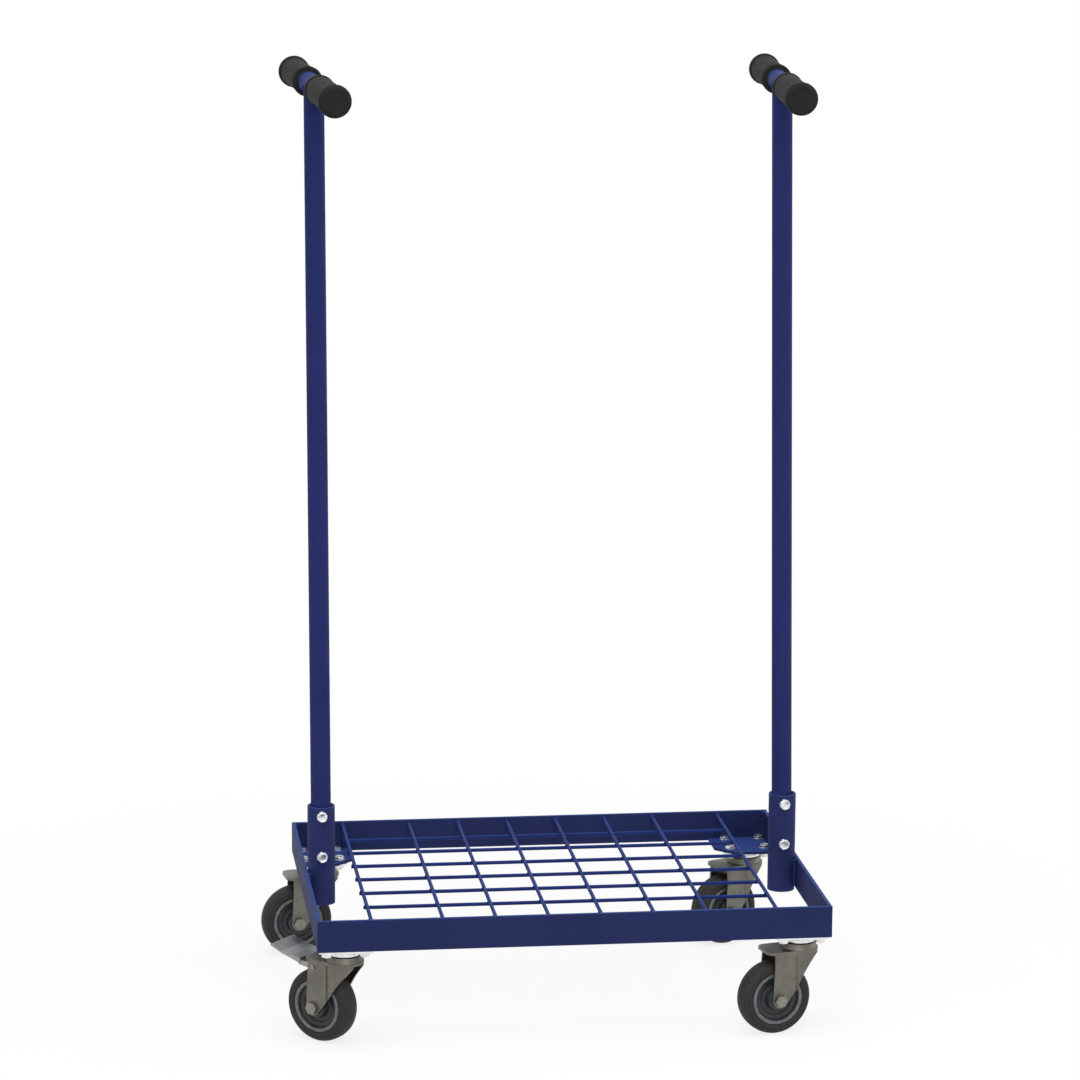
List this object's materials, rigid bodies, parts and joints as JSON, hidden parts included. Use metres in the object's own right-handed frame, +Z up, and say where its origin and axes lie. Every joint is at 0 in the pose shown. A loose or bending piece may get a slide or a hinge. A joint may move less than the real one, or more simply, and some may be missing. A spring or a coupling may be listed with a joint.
{
  "type": "platform cart",
  "caption": "Low platform cart with a flat-bar frame, wire deck, swivel castors, a foot brake and two lift-out T-handles.",
  "frame": {"origin": "middle of the bounding box's base, on the floor", "axes": "+Z up, +X along the long side to the right handle, +Y to the rear rail; the picture sees the -Y side"},
  "size_m": [0.5956, 0.4, 1.0203],
  "materials": {
    "blue_paint": "satin dark blue paint",
    "fork_steel": "dull zinc plate",
    "bright_zinc": "bright zinc plate",
    "hub_plastic": "dark grey moulded plastic",
    "tyre_rubber": "dark rubber",
    "grip_rubber": "black moulded grip"
  },
  "bodies": {
    "chassis": {"front_rail": "blue_paint", "rear_rail": "blue_paint", "left_rail": "blue_paint", "right_rail": "blue_paint", "front_left_corner_plate": "blue_paint", "front_right_corner_plate": "blue_paint", "rear_left_corner_plate": "blue_paint", "rear_right_corner_plate": "blue_paint", "deck_long_wires": "blue_paint", "deck_cross_wires": "blue_paint", "left_socket": "blue_paint", "left_clamp_screws": "bright_zinc", "right_socket": "blue_paint", "right_clamp_screws": "bright_zinc", "castor_bolts": "bright_zinc", "castor_nuts": "bright_zinc", "front_left_castor_plate": "fork_steel", "front_left_swivel_bearing": "fork_steel", "front_left_kingpin": "bright_zinc", "front_right_castor_plate": "fork_steel", "front_right_swivel_bearing": "fork_steel", "front_right_kingpin": "bright_zinc", "rear_left_castor_plate": "fork_steel", "rear_left_swivel_bearing": "fork_steel", "rear_left_kingpin": "bright_zinc", "rear_right_castor_plate": "fork_steel", "rear_right_swivel_bearing": "fork_steel", "rear_right_kingpin": "bright_zinc"},
    "front_left_castor": {"front_left_fork": "fork_steel", "front_left_axle_bolt": "bright_zinc", "front_left_axle_bush": "fork_steel", "brake_pin": "bright_zinc"},
    "front_left_wheel": {"front_left_wheel_hub": "hub_plastic", "front_left_tyre": "tyre_rubber"},
    "brake": {"brake_pedal": "fork_steel"},
    "front_right_castor": {"front_right_fork": "fork_steel", "front_right_axle_bolt": "bright_zinc", "front_right_axle_bush": "fork_steel"},
    "front_right_wheel": {"front_right_wheel_hub": "hub_plastic", "front_right_tyre": "tyre_rubber"},
    "rear_left_castor": {"rear_left_fork": "fork_steel", "rear_left_axle_bolt": "bright_zinc", "rear_left_axle_bush": "fork_steel"},
    "rear_left_wheel": {"rear_left_wheel_hub": "hub_plastic", "rear_left_tyre": "tyre_rubber"},
    "rear_right_castor": {"rear_right_fork": "fork_steel", "rear_right_axle_bolt": "bright_zinc", "rear_right_axle_bush": "fork_steel"},
    "rear_right_wheel": {"rear_right_wheel_hub": "hub_plastic", "rear_right_tyre": "tyre_rubber"},
    "left_handle": {"left_post": "blue_paint", "left_crossbar": "blue_paint", "left_front_grip": "grip_rubber", "left_rear_grip": "grip_rubber"},
    "right_handle": {"right_post": "blue_paint", "right_crossbar": "blue_paint", "right_front_grip": "grip_rubber", "right_rear_grip": "grip_rubber"}
  },
  "joints": [
    {"name": "front_left_swivel", "type": "hinge", "parent": "chassis", "child": "front_left_castor", "pos_m": [-0.2225, -0.169, 0.105], "axis": [0, 0, 1], "continuous": true},
    {"name": "front_left_spin", "type": "hinge", "parent": "front_left_castor", "child": "front_left_wheel", "pos_m": [-0.24433, -0.15068, 0.04], "axis": [-0.6428, -0.766, 0], "continuous": true},
    {"name": "brake_press", "type": "hinge", "parent": "front_left_castor", "child": "brake", "pos_m": [-0.24395, -0.151, 0.085], "axis": [-0.6428, -0.766, 0], "range_deg": [0, 12]},
    {"name": "front_right_swivel", "type": "hinge", "parent": "chassis", "child": "front_right_castor", "pos_m": [0.2665, -0.169, 0.105], "axis": [0, 0, 1], "continuous": true},
    {"name": "front_right_spin", "type": "hinge", "parent": "front_right_castor", "child": "front_right_wheel", "pos_m": [0.23885, -0.17589, 0.04], "axis": [0.2419, -0.9703, 0], "continuous": true},
    {"name": "rear_left_swivel", "type": "hinge", "parent": "chassis", "child": "rear_left_castor", "pos_m": [-0.2225, 0.17, 0.105], "axis": [0, 0, 1], "continuous": true},
    {"name": "rear_left_spin", "type": "hinge", "parent": "rear_left_castor", "child": "rear_left_wheel", "pos_m": [-0.25072, 0.16603, 0.04], "axis": [0.1392, -0.9903, 0], "continuous": true},
    {"name": "rear_right_swivel", "type": "hinge", "parent": "chassis", "child": "rear_right_castor", "pos_m": [0.2665, 0.17, 0.105], "axis": [0, 0, 1], "continuous": true},
    {"name": "rear_right_spin", "type": "hinge", "parent": "rear_right_castor", "child": "rear_right_wheel", "pos_m": [0.24067, 0.15796, 0.04], "axis": [0.4226, -0.9063, 0], "continuous": true},
    {"name": "left_handle_lift", "type": "slide", "parent": "chassis", "child": "left_handle", "axis": [-0.0052, 0, 1], "range_m": [0, 0.11]},
    {"name": "right_handle_lift", "type": "slide", "parent": "chassis", "child": "right_handle", "axis": [-0.0166, 0, 0.9999], "range_m": [0, 0.11]}
  ]
}
